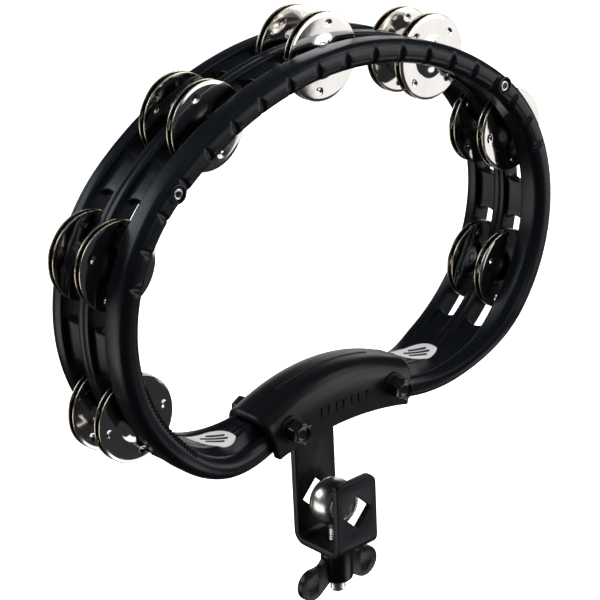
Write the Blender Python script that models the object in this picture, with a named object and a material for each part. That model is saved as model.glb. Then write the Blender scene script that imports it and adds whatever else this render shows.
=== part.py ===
"""Mountable two-row ABS tambourine: a bean-shaped frame of two moulded halves, seven jingle
stations with two pairs of jingles each, a two-shell grip cover and a U bracket with an eye bolt
and wing nut that clamps on a rod. Metres, +Z up; the hoop stands in the XZ plane and its front
faces -Y. The origin is the centre of the rod clamp."""

import math

import bmesh
import bpy
from mathutils import Vector

MM = 0.001
GAP = 0.3 * MM  # between pieces that touch
FLIP = Vector((-1, 1, 1))

# Outer outline of the hoop, half of it, as arcs from the crown to the start of the grip:
# radius, degrees turned, number of straight steps. A place on it is given by its distance from
# the crown, positive on +X.
CROWN_Z = 233.0 * MM
ARCS = ((164 * MM, 40, 8), (86.5 * MM, 89, 11), (100 * MM, 27, 4), (56 * MM, 45.5, 6))
GRIP_STEPS = 5  # the arch over the grip curves the other way and closes the outline

# The frame in depth. The halves part at the middle of the middle rail.
PART_Y = 6.5 * MM
FRONT_Y, FRONT_RAIL = -21.4 * MM, 12.65 * MM
BACK_Y, BACK_RAIL = 29.1 * MM, 7.35 * MM
MID_HALF = 3.75 * MM
GRIP_HALF = 12.0 * MM  # half the frame's depth inside the grip cover
# Shares of the half outline, from and to, over which the section changes toward the grip.
NARROW_FRONT, NARROW_BACK = (0.67, 0.92), (0.76, 0.90)
ROUNDS, FILLS, THICKENS = (0.66, 0.75), (0.695, 0.76), (0.77, 0.885)

# Across the hoop, measured inward from the outer outline.
RAIL_T = 11.3 * MM
RECESS = 3.0 * MM
FLOOR_GROWS = 4.2 * MM  # the inner wall thickens this much toward the grip
LIP_DROP = 1.1 * MM  # and the front rail, rounder there, is this much lower
VALLEY = 7.6 * MM  # depth of the inner wall beside the front rail
MID_LOW = 0.5 * MM

# Jingle stations: distance of the pin from the crown, then the slot's middle and half length.
STATIONS = (
    (1, -235 * MM, -238.7 * MM, 32.7 * MM),
    (2, -153 * MM, -154 * MM, 32 * MM),
    (3, -73.7 * MM, -73 * MM, 31 * MM),
    (4, 0.0, 0.0, 24 * MM),
    (5, 73.7 * MM, 73 * MM, 31 * MM),
    (6, 153 * MM, 154 * MM, 32 * MM),
    (7, 235 * MM, 238.7 * MM, 32.7 * MM),
)
STATION_IN = 6.4 * MM
SLOT_SIDE, SLOT_END = 0.3 * MM, 3.6 * MM
ROW_Y = (-3.0 * MM, 16.0 * MM)
JINGLE_R, JINGLE_HOLE = 20.5 * MM, 2.4 * MM
JINGLE_T, DOME_R, DOME_H = 0.8 * MM, 10 * MM, 2.2 * MM
PAIR_GAP = 2.9 * MM
PIN_R, PIN_FROM, PIN_TO = 1.5 * MM, -15.0 * MM, 26.0 * MM
HANG = 0.6 * MM  # a jingle hangs on its pin by the top of its hole

# Frame screws, beside the crown.
SCREW_S = 112.6 * MM
SCREW_HEAD_R, SCREW_HEAD_T, SCREW_R = 2.7 * MM, 2.2 * MM, 1.4 * MM
SCREW_END = 25.5 * MM

# Grip cover.
COVER_HALF_X, COVER_STEPS = 42.5 * MM, 16
COVER_HALF_Y, COVER_WALL = 16.3 * MM, 2.4 * MM
COVER_LOW_Z, COVER_DROP = 46.7 * MM, 5.6 * MM  # lower edge at the middle, and its drop to the ends
COVER_END_H, COVER_MID_H = 20.9 * MM, 26.0 * MM
COVER_POWER = 4.0
BOLT_X, BOLT_Z, BOLT_R = 33.3 * MM, 54.2 * MM, 3.0 * MM
HEX_R, HEX_T = 5.8 * MM, 6.8 * MM
FLANGE_R, FLANGE_T = 7.0 * MM, 1.4 * MM
NUT_T = 5.0 * MM

# Bracket: a bent strap.
STRAP_W, STRAP_T = 26 * MM, 3.5 * MM
LEG_Y = 16.2 * MM  # outer faces of both legs
PLATE_Z = -22.7 * MM
FRONT_TOP, BACK_TOP = 17.2 * MM, 63.7 * MM
BEND_R = 6.5 * MM
DIAMOND = 9.0 * MM  # half diagonal of the rod holes
STRAP_SCREW_X, STRAP_SCREW_Z = 7 * MM, 59.2 * MM

# Eye bolt and wing nut.
EYE_R, EYE_HOLE, EYE_HALF = 12.0 * MM, 7.0 * MM, 6.5 * MM
SHANK_R, SHANK_END = 4.0 * MM, -48.6 * MM
HUB_R, HUB_END = 8.0 * MM, -42.2 * MM
WING_T, WING_Z = 3.2 * MM, -39.2 * MM

# Labels on the inner wall: distance of the middle from the crown and depth, half length, half
# width, and how far their long axis is turned from +X toward -Y.
LABELS = (("label_left", -308 * MM, 10.6 * MM), ("label_right", 306.5 * MM, 11.2 * MM))
LABEL_LONG, LABEL_WIDE, LABEL_T, LABEL_TURN = 11.8 * MM, 7.6 * MM, 0.4 * MM, 41
LABEL_STRETCH = 1.27  # the outline is this much longer than the inner wall where the labels are
LABEL_LIFT, LABEL_EDGE = 0.9 * MM, 2.2 * MM  # clear of the wall, and of the front rail
WALL_SLOPE = 0.8  # share of the inner wall's slope that a label follows

COLOURS = {
    "abs_black": ((0.012, 0.013, 0.016), 0.0, 0.32),
    "cover_black": ((0.011, 0.012, 0.015), 0.0, 0.36),
    "jingle_nickel": ((0.74, 0.70, 0.65), 1.0, 0.12),
    "pin_black": ((0.02, 0.02, 0.02), 0.6, 0.4),
    "screw_nickel": ((0.66, 0.64, 0.61), 1.0, 0.25),
    "bolt_black": ((0.015, 0.015, 0.017), 0.3, 0.3),
    "bracket_black": ((0.013, 0.014, 0.016), 0.2, 0.38),
    "eye_nickel": ((0.72, 0.70, 0.67), 1.0, 0.16),
    "wingnut_black": ((0.012, 0.012, 0.014), 0.2, 0.34),
    "label_white": ((0.80, 0.77, 0.76), 0.0, 0.5),
}


def clear_scene():
    for obj in list(bpy.data.objects):
        bpy.data.objects.remove(obj, do_unlink=True)


def material(name):
    found = bpy.data.materials.get(name)
    if found:
        return found
    colour, metallic, roughness = COLOURS[name]
    made = bpy.data.materials.new(name)
    made.use_nodes = True
    shader = made.node_tree.nodes["Principled BSDF"]
    shader.inputs["Base Color"].default_value = (*colour, 1)
    shader.inputs["Metallic"].default_value = metallic
    shader.inputs["Roughness"].default_value = roughness
    return made


def add_object(name, mesh, colour, smooth=False):
    obj = bpy.data.objects.new(name, mesh)
    bpy.context.collection.objects.link(obj)
    if colour:
        mesh.materials.append(material(colour))
    for polygon in mesh.polygons:
        polygon.use_smooth = smooth
    return obj


def shell(name, rings, colour, closed=False, smooth=False):
    """A solid through rings of points; closed joins the last ring to the first."""
    mesh = bpy.data.meshes.new(name)
    bm = bmesh.new()
    rows = [[bm.verts.new(p) for p in ring] for ring in rings]
    count = len(rows[0])
    pairs = list(zip(rows, rows[1:]))
    if closed:
        pairs.append((rows[-1], rows[0]))
    for a, b in pairs:
        for i in range(count):
            j = (i + 1) % count
            bm.faces.new((a[i], a[j], b[j], b[i]))
    if not closed:
        bm.faces.new(rows[0])
        bm.faces.new(rows[-1])
    bmesh.ops.recalc_face_normals(bm, faces=bm.faces)
    bm.to_mesh(mesh)
    bm.free()
    return add_object(name, mesh, colour, smooth)


def prism(name, outline, start, end, colour=None):
    """An outline of (x, z) points carried along Y from start to end."""
    rings = [[Vector((x, y, z)) for x, z in outline] for y in (start, end)]
    return shell(name, rings, colour)


def circle(radius, steps, x=0.0, z=0.0, turn=0.0):
    return [
        (
            x + radius * math.cos(turn + 2 * math.pi * i / steps),
            z + radius * math.sin(turn + 2 * math.pi * i / steps),
        )
        for i in range(steps)
    ]


def lathe(name, profile, centre, axis, steps, colour, closed_profile=False, turn=0.0):
    """Turns (radius, along) points about an axis through centre. Without closed_profile the
    ends are capped discs."""
    axis = Vector(axis)
    side = Vector((1, 0, 0)) if abs(axis.x) < 0.5 else Vector((0, 0, 1))
    other = axis.cross(side)

    def ring(radius, along):
        return [
            Vector(centre)
            + axis * along
            + (side * math.cos(t) + other * math.sin(t)) * radius
            for t in (turn + 2 * math.pi * i / steps for i in range(steps))
        ]

    rings = [ring(r, a) for r, a in profile]
    return shell(name, rings, colour, closed=closed_profile, smooth=True)


def combine(target, tool, operation="DIFFERENCE"):
    """A Boolean that is applied at once; the tool is removed."""
    modifier = target.modifiers.new("bool", "BOOLEAN")
    modifier.operation = operation
    modifier.solver = "EXACT"
    modifier.object = tool
    graph = bpy.context.evaluated_depsgraph_get()
    mesh = bpy.data.meshes.new_from_object(target.evaluated_get(graph))
    target.modifiers.clear()
    target.data = mesh
    bpy.data.objects.remove(tool, do_unlink=True)


def direction(angle):
    """The unit vector at an angle from straight up toward +X."""
    return Vector((math.sin(angle), 0, math.cos(angle)))


def outline_arcs():
    """(start, centre, signed radius, start angle, steps) of each arc of half the outline, and its
    length. The last arc, over the grip, curves the other way."""
    arcs, start, angle, point = [], 0.0, 0.0, Vector((0, 0, CROWN_Z))
    for radius, degrees, steps in ARCS:
        centre = point - direction(angle) * radius
        arcs.append((start, centre, radius, angle, steps))
        start += radius * math.radians(degrees)
        angle += math.radians(degrees)
        point = centre + direction(angle) * radius
    over = angle - math.pi
    radius = point.x / math.sin(over)
    arcs.append((start, point + direction(angle) * radius, -radius, angle, GRIP_STEPS))
    return arcs, start + radius * over


PATH, HALF_LENGTH = outline_arcs()


def outline_at(s):
    """(point, outward normal) at a distance round the outline from the crown, either way."""
    s = (s + HALF_LENGTH) % (2 * HALF_LENGTH) - HALF_LENGTH
    start, centre, radius, angle, _ = [arc for arc in PATH if arc[0] <= abs(s)][-1]
    out = direction(angle + (abs(s) - start) / radius)
    point = centre + out * radius
    return (point, out) if s >= 0 else (point * FLIP, out * FLIP)


def place(s, depth, inward):
    """The point at a distance round the outline, a depth along Y and a distance inward."""
    point, out = outline_at(s)
    return point - out * inward + Vector((0, depth, 0))


def ring_places():
    """Distances round the whole outline at which the frame has a section."""
    half = []
    ends = [arc[0] for arc in PATH[1:]] + [HALF_LENGTH]
    for (start, _, _, _, steps), end in zip(PATH, ends):
        half += [start + (end - start) * i / steps for i in range(steps)]
    return half + [HALF_LENGTH] + [-s for s in reversed(half[1:])]


def ease(value, start, end):
    t = min(max((value - start) / (end - start), 0.0), 1.0)
    return t * t * (3 - 2 * t)


def frame_measures(s):
    """Depths, recess and heights of the frame's section at a distance round the outline."""
    share = abs(s) / HALF_LENGTH
    narrow = ease(share, *NARROW_FRONT)
    narrow_back = ease(share, *NARROW_BACK)
    front = FRONT_Y + (PART_Y - GRIP_HALF - FRONT_Y) * narrow
    back = BACK_Y + (PART_Y + GRIP_HALF - BACK_Y) * narrow_back
    room = 2 * MM
    front_rail = FRONT_Y + FRONT_RAIL
    front_rail += (PART_Y - MID_HALF - room - front_rail) * narrow
    back_rail = BACK_Y - BACK_RAIL
    back_rail += (PART_Y + MID_HALF + room - back_rail) * narrow_back
    deep = 0.25 * MM + RECESS * (1 - ease(share, *FILLS))
    floor = RAIL_T + FLOOR_GROWS * ease(share, *THICKENS)
    return front, front_rail, back_rail, back, deep, floor


def front_section(s):
    """(depth, inward) points round the front half's section."""
    front, rail, _, _, deep, floor = frame_measures(s)
    rounds = ease(abs(s) / HALF_LENGTH, *ROUNDS)
    lip = RAIL_T - LIP_DROP * rounds
    mid, part = PART_Y - MID_HALF, PART_Y - GAP / 2
    low = min(MID_LOW, deep / 2)
    far = 1.5 * MM + 1.6 * MM * rounds
    outer = [
        (part, low),
        (mid + 1 * MM, low),
        (mid, low + deep * 0.4),
        (mid, low + deep),
        (rail, low + deep),
        (rail, deep * 0.5),
        (rail - 1.5 * MM, 0),
    ]
    nose = [
        (front + 4.4 * MM, 0),
        (front + 1.9 * MM, 0.9 * MM),
        (front + 0.45 * MM, 3.0 * MM),
        (front, lip / 2),
        (front + 0.45 * MM, lip - 3.0 * MM),
        (front + 1.9 * MM, lip - 0.9 * MM),
        (min(front + 4.4 * MM, rail - far - 0.3 * MM), lip),
    ]
    inner = [
        (rail - far, lip),
        (rail - far * 0.3, lip - 1.5 * MM * rounds - 0.3 * MM),
        (rail, lip - deep * 0.5 - 1.9 * MM * rounds),
        (rail, VALLEY),
        (mid, floor - low - deep),
        (mid, floor - low - deep * 0.4),
        (mid + 1 * MM, floor - low),
        (part, floor - low),
    ]
    return outer + nose + inner


def back_section(s):
    _, _, rail, back, deep, floor = frame_measures(s)
    mid, part = PART_Y + MID_HALF, PART_Y + GAP / 2
    low = min(MID_LOW, deep / 2)
    return [
        (part, low),
        (mid - 1 * MM, low),
        (mid, low + deep * 0.4),
        (mid, low + deep),
        (rail, low + deep),
        (rail, deep * 0.4),
        (rail + 0.9 * MM, 0),
        (back - 2.0 * MM, 0),
        (back, 2.2 * MM),
        (back, floor - 3.0 * MM),
        (back - 2.4 * MM, floor - 0.3 * MM),
        (rail + 0.9 * MM, floor),
        (rail, floor - deep * 0.4),
        (rail, floor - low - deep),
        (mid, floor - low - deep),
        (mid, floor - low - deep * 0.4),
        (mid - 1 * MM, floor - low),
        (part, floor - low),
    ]


def swept_frame(name, section):
    rings = [[place(s, depth, inward) for depth, inward in section(s)] for s in ring_places()]
    return shell(name, rings, "abs_black", closed=True)


def slot_cutter(middle, half, low, high):
    """A block that follows the outline through the panel, with hollow round ends."""
    centre, wide = (low + high) / 2, (high - low) / 2
    ends = [(0.0, 0.3), (0.12, 0.62), (0.45, 0.88), (1.0, 1.0)]
    rows = [(half - SLOT_END * in_from_end, share) for in_from_end, share in ends]
    straight = half - SLOT_END
    steps = 6
    places = [(-reach, share) for reach, share in rows]
    places += [(-straight + 2 * straight * i / steps, 1.0) for i in range(1, steps)]
    places += [(reach, share) for reach, share in reversed(rows)]
    rings = []
    for along, share in places:
        near, far = centre - wide * share, centre + wide * share
        corners = ((near, -4 * MM), (far, -4 * MM), (far, 18 * MM), (near, 18 * MM))
        rings.append([place(middle + along, depth, inward) for depth, inward in corners])
    return shell("slot_cutter", rings, None)


def build_frame():
    front = swept_frame("frame_front", front_section)
    back = swept_frame("frame_back", back_section)
    windows = (
        (front, FRONT_Y + FRONT_RAIL + SLOT_SIDE, PART_Y - MID_HALF - SLOT_SIDE),
        (back, PART_Y + MID_HALF + SLOT_SIDE, BACK_Y - BACK_RAIL - SLOT_SIDE),
    )
    for _, pin, middle, length in STATIONS:
        point = place(pin, 0, STATION_IN)
        for half, low, high in windows:
            combine(half, slot_cutter(middle, length, low, high))
            hole = circle(PIN_R + GAP, 10, point.x, point.z)
            combine(half, prism("hole", hole, PIN_FROM - GAP, PIN_TO + GAP))
    for s in (-SCREW_S, SCREW_S):
        point = place(s, 0, RAIL_T / 2)
        seat = circle(SCREW_HEAD_R + GAP, 12, point.x, point.z)
        head_end = FRONT_Y + SCREW_HEAD_T + 2 * GAP
        combine(front, prism("seat", seat, FRONT_Y - 5 * MM, head_end))
        for half in (front, back):
            hole = circle(SCREW_R + GAP, 10, point.x, point.z)
            combine(half, prism("hole", hole, FRONT_Y - 4 * MM, SCREW_END + GAP))
    for x in (-BOLT_X, BOLT_X):
        for half in (front, back):
            hole = circle(BOLT_R + GAP, 12, x, BOLT_Z)
            combine(half, prism("hole", hole, -40 * MM, 50 * MM))
    inner, outer = LEG_Y - STRAP_T - GAP, LEG_Y + GAP
    side = STRAP_W / 2 + GAP
    pocket = [(-side, 30 * MM), (side, 30 * MM), (side, 80 * MM), (-side, 80 * MM)]
    combine(back, prism("pocket", pocket, inner, outer))
    for x in (-STRAP_SCREW_X, STRAP_SCREW_X):
        for half in (front, back):
            hole = circle(2.0 * MM + GAP, 10, x, STRAP_SCREW_Z)
            combine(half, prism("hole", hole, 0, 40 * MM))
        seat = circle(3.8 * MM + GAP, 12, x, STRAP_SCREW_Z)
        combine(back, prism("seat", seat, LEG_Y, 40 * MM))


def build_jingles():
    profile = [
        (JINGLE_R, 0),
        (JINGLE_R, JINGLE_T),
        (DOME_R, JINGLE_T),
        (JINGLE_HOLE, JINGLE_T + DOME_H),
        (JINGLE_HOLE, DOME_H),
        (DOME_R - 0.6 * MM, 0),
    ]
    for number, pin, _, _ in STATIONS:
        point = place(pin, 0, STATION_IN)
        letters = iter("abcd")
        for row in ROW_Y:
            for side in (-1, 1):
                centre = (point.x, row + side * PAIR_GAP / 2, point.z - HANG)
                name = f"jingle_{number}{next(letters)}"
                lathe(name, profile, centre, (0, side, 0), 16, "jingle_nickel", closed_profile=True)
        profile_pin = [(PIN_R, 0), (PIN_R, PIN_TO - PIN_FROM)]
        lathe(
            f"jingle_pin_{number}", profile_pin, (point.x, PIN_FROM, point.z), (0, 1, 0), 12, "pin_black"
        )


def build_frame_screws():
    for name, s in (("frame_screw_left", -SCREW_S), ("frame_screw_right", SCREW_S)):
        point = place(s, 0, RAIL_T / 2)
        start = FRONT_Y + GAP
        profile = [
            (SCREW_HEAD_R, 0),
            (SCREW_HEAD_R, SCREW_HEAD_T),
            (SCREW_R, SCREW_HEAD_T),
            (SCREW_R, SCREW_END - start),
        ]
        lathe(name, profile, (point.x, start, point.z), (0, 1, 0), 12, "screw_nickel")


def cover_line():
    """(point, up, share of the half length) along the cover's lower edge, from -X to +X."""
    line = []
    for i in range(COVER_STEPS + 1):
        share = 2 * i / COVER_STEPS - 1
        slope = 2 * COVER_DROP * share / COVER_HALF_X
        point = Vector((COVER_HALF_X * share, 0, COVER_LOW_Z - COVER_DROP * share**2))
        line.append((point, Vector((slope, 0, 1)).normalized(), share))
    return line


def cover_arch(half_width, height, side, steps):
    """(depth, height) of a squared arch from its foot to its crown on one side of the seam."""
    points = []
    for i in range(steps + 1):
        t = math.pi / 2 * i / steps
        depth = half_width * math.cos(t) ** (2 / COVER_POWER)
        rise = height * math.sin(t) ** (2 / COVER_POWER)
        points.append((PART_Y + side * max(depth, GAP / 2), rise))
    return points


def build_cover():
    steps = 8
    for name, side in (("cover_front", -1), ("cover_back", 1)):
        rings = []
        for point, up, share in cover_line():
            height = COVER_MID_H - (COVER_MID_H - COVER_END_H) * share**2
            outer = cover_arch(COVER_HALF_Y, height, side, steps)
            inner = cover_arch(COVER_HALF_Y - COVER_WALL, height - COVER_WALL, side, steps)
            ring = outer + inner[::-1]
            rings.append([point + up * rise + Vector((0, depth, 0)) for depth, rise in ring])
        obj = shell(name, rings, "cover_black")
        for x in (-BOLT_X, BOLT_X):
            hole = circle(BOLT_R + GAP, 12, x, BOLT_Z)
            combine(obj, prism("hole", hole, -40 * MM, 60 * MM))


def build_cover_bolts():
    seat = PART_Y - COVER_HALF_Y - GAP
    far = PART_Y + COVER_HALF_Y + GAP
    for name, x in (("left", -BOLT_X), ("right", BOLT_X)):
        head = prism(
            f"cover_bolt_{name}",
            circle(HEX_R, 6, x, BOLT_Z, math.radians(30)),
            seat - FLANGE_T - HEX_T,
            seat - FLANGE_T / 2,
            "bolt_black",
        )
        cup = circle(3.3 * MM, 12, x, BOLT_Z)
        combine(head, prism("cup", cup, seat - FLANGE_T - HEX_T - 1 * MM, seat - FLANGE_T - HEX_T + 1.4 * MM))
        flange = prism("flange", circle(FLANGE_R, 16, x, BOLT_Z), seat - FLANGE_T, seat)
        combine(head, flange, "UNION")
        shank = prism("shank", circle(BOLT_R, 12, x, BOLT_Z), seat - FLANGE_T / 2, far + NUT_T + 1.5 * MM)
        combine(head, shank, "UNION")
        nut = prism(
            f"cover_nut_{name}",
            circle(HEX_R, 6, x, BOLT_Z, math.radians(30)),
            far,
            far + NUT_T,
            "bolt_black",
        )
        combine(nut, prism("hole", circle(BOLT_R + GAP, 12, x, BOLT_Z), 0, 60 * MM))


def strap_path():
    """(y, z) of the strap's outer face from the top of the front leg round to the back leg."""
    points = [(-LEG_Y, FRONT_TOP)]
    steps = 5
    for centre_y, start in ((-LEG_Y + BEND_R, math.pi), (LEG_Y - BEND_R, 1.5 * math.pi)):
        for i in range(steps + 1):
            t = start + math.pi / 2 * i / steps
            points.append((centre_y + BEND_R * math.cos(t), PLATE_Z + BEND_R + BEND_R * math.sin(t)))
    points.append((LEG_Y, BACK_TOP))
    return points


def build_bracket():
    outer = strap_path()
    inner_r = BEND_R - STRAP_T
    inner = []
    for y, z in outer:
        side = -1 if y < 0 else 1
        cy, cz = side * (LEG_Y - BEND_R), PLATE_Z + BEND_R
        if z > cz:
            inner.append((y - side * STRAP_T, z))
        else:
            scale = inner_r / BEND_R
            inner.append((cy + (y - cy) * scale, cz + (z - cz) * scale))
    ring = outer + inner[::-1]
    rings = [[Vector((x, y, z)) for y, z in ring] for x in (-STRAP_W / 2, STRAP_W / 2)]
    bracket = shell("bracket", rings, "bracket_black")
    diamond = [(DIAMOND, 0), (0, DIAMOND), (-DIAMOND, 0), (0, -DIAMOND)]
    combine(bracket, prism("diamond", diamond, -30 * MM, 30 * MM))
    corner = 5 * MM
    for side in (-1, 1):
        cx, cz = side * (STRAP_W / 2 - corner), FRONT_TOP - corner
        cut = [(side * 20 * MM, cz), (side * 20 * MM, 30 * MM), (cx, 30 * MM)]
        steps = 5
        for i in range(steps + 1):
            t = math.pi / 2 - math.pi / 2 * i / steps
            cut.append((cx + side * corner * math.cos(t), cz + corner * math.sin(t)))
        combine(bracket, prism("corner", cut, -30 * MM, 0))
    well = [
        [Vector((x, y, z)) for x, y in circle(SHANK_R + GAP, 16)]
        for z in (-40 * MM, -10 * MM)
    ]
    combine(bracket, shell("well", well, None))
    for x in (-STRAP_SCREW_X, STRAP_SCREW_X):
        hole = circle(2.0 * MM + GAP, 10, x, STRAP_SCREW_Z)
        combine(bracket, prism("hole", hole, 0, 40 * MM))


def build_strap_screws():
    for name, x in (("strap_screw_left", -STRAP_SCREW_X), ("strap_screw_right", STRAP_SCREW_X)):
        profile = [(2.0 * MM, 0), (2.0 * MM, 16.0 * MM), (3.8 * MM, 16.0 * MM), (3.8 * MM, 18.0 * MM)]
        lathe(name, profile, (x, 0.5 * MM, STRAP_SCREW_Z), (0, 1, 0), 12, "bolt_black")


def build_eye_bolt():
    barrel = [
        (EYE_HOLE, -EYE_HALF),
        (EYE_R - 2.2 * MM, -EYE_HALF),
        (EYE_R - 0.6 * MM, -EYE_HALF * 0.55),
        (EYE_R, 0),
        (EYE_R - 0.6 * MM, EYE_HALF * 0.55),
        (EYE_R - 2.2 * MM, EYE_HALF),
        (EYE_HOLE, EYE_HALF),
    ]
    eye = lathe(
        "eye_bolt", barrel, (0, 0, 0), (0, 1, 0), 28, "eye_nickel", closed_profile=True,
        turn=math.radians(360 / 56),
    )
    top = -EYE_R + 2.0 * MM
    profile = [(SHANK_R, 0), (SHANK_R, SHANK_END + 1 * MM - top), (SHANK_R - 1 * MM, SHANK_END - top)]
    profile = [(r, -a) for r, a in profile]
    shank = lathe("shank", profile, (0, 0, top), (0, 0, -1), 16, None)
    combine(eye, shank, "UNION")


def wing_outline():
    """(x, z) of one wing, rooted in the hub."""
    end_x, radius = 17.6 * MM, 8.0 * MM
    points = [
        (HUB_R - 2 * MM, WING_Z - 1.8 * MM),
        (HUB_R - 2 * MM, WING_Z + 11.2 * MM),
        (10.5 * MM, WING_Z + 9.7 * MM),
    ]
    steps = 10
    start, turn = math.radians(105), math.radians(-225)
    for i in range(steps + 1):
        t = start + turn * i / steps
        points.append((end_x + radius * math.cos(t), WING_Z + radius * math.sin(t)))
    return points


def build_wing_nut():
    top = PLATE_Z - GAP
    profile = [
        (SHANK_R + GAP, 0),
        (HUB_R, 0),
        (HUB_R, top - HUB_END - 1 * MM),
        (HUB_R - 1 * MM, top - HUB_END),
        (SHANK_R + GAP, top - HUB_END),
    ]
    nut = lathe("wing_nut", profile, (0, 0, top), (0, 0, -1), 20, "wingnut_black", closed_profile=True)
    for side in (-1, 1):
        outline = [(side * x, z) for x, z in wing_outline()]
        wing = prism("wing", outline, -WING_T / 2, WING_T / 2)
        combine(nut, wing, "UNION")


def floor_height(s, depth):
    """How far inward the inner wall is at a depth, low on the hoop."""
    _, rail, _, _, deep, floor = frame_measures(s)
    mid = PART_Y - MID_HALF
    if depth >= mid:
        return floor
    t = (mid - depth) / (mid - rail)
    return floor + (VALLEY - floor + deep) * WALL_SLOPE * t


def label_outline():
    """(along, depth) points round a label: a drop that is pointed at the end toward -X."""
    turn = math.radians(LABEL_TURN)
    count = 16
    upper = []
    for i in range(count + 1):
        share = (1 - math.cos(math.pi * i / count)) / 2
        wide = LABEL_WIDE * math.sin(math.pi * (0.01 + 0.98 * share) ** 1.35) ** 0.7
        upper.append((LABEL_LONG * (2 * share - 1), wide))
    loop = upper + [(a, -w) for a, w in reversed(upper)]
    cos, sin = math.cos(turn), math.sin(turn)
    return [(a * cos + w * sin, w * cos - a * sin) for a, w in loop]


def span_at(loop, along):
    """(lowest, highest) depth of a closed outline at a place along it."""
    found = []
    for (a, da), (b, db) in zip(loop, loop[1:] + loop[:1]):
        if min(a, b) <= along <= max(a, b) and a != b:
            found.append(da + (db - da) * (along - a) / (b - a))
    return min(found), max(found)


def build_labels():
    loop = label_outline()
    first, last = min(a for a, _ in loop), max(a for a, _ in loop)
    steps, across = 14, 6
    for name, middle, depth in LABELS:
        rings = []
        for i in range(steps + 1):
            along = first + (last - first) * (0.5 + 0.98 * (i / steps - 0.5))  # stops short of the tips
            low, high = (depth + edge for edge in span_at(loop, along))
            s = middle - along * LABEL_STRETCH
            low = max(low, frame_measures(s)[1] + LABEL_EDGE)
            depths = [low + (high - low) * k / across for k in range(across + 1)]
            heights = [floor_height(s, y) + LABEL_LIFT for y in depths]
            under = [place(s, y, rise) for y, rise in zip(depths, heights)]
            over = [place(s, y, rise + LABEL_T) for y, rise in zip(depths, heights)]
            rings.append(under + over[::-1])
        shell(name, rings, "label_white")


def set_origin(name, place):
    """Puts an object's origin on its joint's axis without moving the shape."""
    obj = bpy.data.objects[name]
    place = Vector(place)
    for vertex in obj.data.vertices:
        vertex.co -= place
    obj.location = place


def place_origins():
    for number, pin, _, _ in STATIONS:
        point = place(pin, 0, STATION_IN)
        for letter, row in zip("abcd", (ROW_Y[0], ROW_Y[0], ROW_Y[1], ROW_Y[1])):
            set_origin(f"jingle_{number}{letter}", (point.x, row, point.z))
    set_origin("eye_bolt", (0, 0, 0))
    set_origin("wing_nut", (0, 0, PLATE_Z))


clear_scene()
build_frame()
build_jingles()
build_frame_screws()
build_cover()
build_cover_bolts()
build_bracket()
build_strap_screws()
build_eye_bolt()
build_wing_nut()
build_labels()
place_origins()
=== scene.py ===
"""Looks of the clamp-on tambourine. Every piece is modelled here in millimetres in the frame's
axes (X right along the grip, Y back, Z up, origin at the rod clamp), and rides on its CAD body."""

import math

import bmesh
import bpy
from mathutils import Matrix, Vector


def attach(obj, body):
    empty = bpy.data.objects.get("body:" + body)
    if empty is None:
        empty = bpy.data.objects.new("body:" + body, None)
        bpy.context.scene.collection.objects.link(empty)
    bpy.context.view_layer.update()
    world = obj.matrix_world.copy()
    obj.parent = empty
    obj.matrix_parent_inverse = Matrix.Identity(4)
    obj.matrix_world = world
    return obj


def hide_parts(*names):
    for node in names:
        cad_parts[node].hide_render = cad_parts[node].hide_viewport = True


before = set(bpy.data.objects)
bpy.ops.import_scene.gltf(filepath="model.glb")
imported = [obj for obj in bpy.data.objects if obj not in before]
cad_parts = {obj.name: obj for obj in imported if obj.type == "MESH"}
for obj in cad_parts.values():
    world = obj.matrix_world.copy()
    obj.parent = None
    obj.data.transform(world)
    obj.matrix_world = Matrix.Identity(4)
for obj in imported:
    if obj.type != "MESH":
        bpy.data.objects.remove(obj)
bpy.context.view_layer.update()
MM = 0.001

# The hoop's outer outline, the same arcs as the CAD: radius in mm and degrees turned.
CROWN_Z = 233.0
ARCS = ((164, 40), (86.5, 89), (100, 27), (56, 45.5))
FRONT_Y, FRONT_EDGE = -21.4, -8.75
MID_FRONT, PART_Y, MID_BACK = 2.75, 6.5, 10.25
BACK_EDGE, BACK_Y = 21.75, 29.1
RAIL_T, RECESS = 11.3, 3.0
LIP_DROP, FLOOR_GROWS, VALLEY = 1.1, 4.2, 7.6  # how the section changes toward the grip
GRIP_FRONT, GRIP_BACK = -5.5, 18.5
GRIP_FRONT_EDGE, GRIP_BACK_EDGE = 0.75, 12.25

# Jingle stations: distance of the pin from the crown, then the slot's middle and half length.
STATIONS = (
    (1, -235, -238.7, 32.7),
    (2, -153, -154, 32),
    (3, -73.7, -73, 31),
    (4, 0, 0, 24),
    (5, 73.7, 73, 31),
    (6, 153, 154, 32),
    (7, 235, 238.7, 32.7),
)
STATION_IN = 6.4
NOTCHES, NOTCH_PITCH = 19, 17.8
SCREW_S = 112.6
ROWS = (-3.0, 16.0)
PAIR_GAP = 2.9
HANG = 0.6  # each jingle hangs this much below its pin
BOLT_X, BOLT_Z = 33.3, 54.2


# ---------------------------------------------------------------- materials
def new_material(name, colour, metallic, roughness):
    mat = bpy.data.materials.new(name)
    mat.use_nodes = True
    shader = mat.node_tree.nodes["Principled BSDF"]
    shader.inputs["Base Color"].default_value = (*colour, 1)
    shader.inputs["Metallic"].default_value = metallic
    shader.inputs["Roughness"].default_value = roughness
    return mat, mat.node_tree, shader


def noise(tree, scale, detail=4.0, rough=0.6):
    coords = tree.nodes.get("Texture Coordinate") or tree.nodes.new("ShaderNodeTexCoord")
    made = tree.nodes.new("ShaderNodeTexNoise")
    made.inputs["Scale"].default_value = scale
    made.inputs["Detail"].default_value = detail
    made.inputs["Roughness"].default_value = rough
    tree.links.new(coords.outputs["Object"], made.inputs["Vector"])
    return made.outputs["Fac"]


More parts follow.
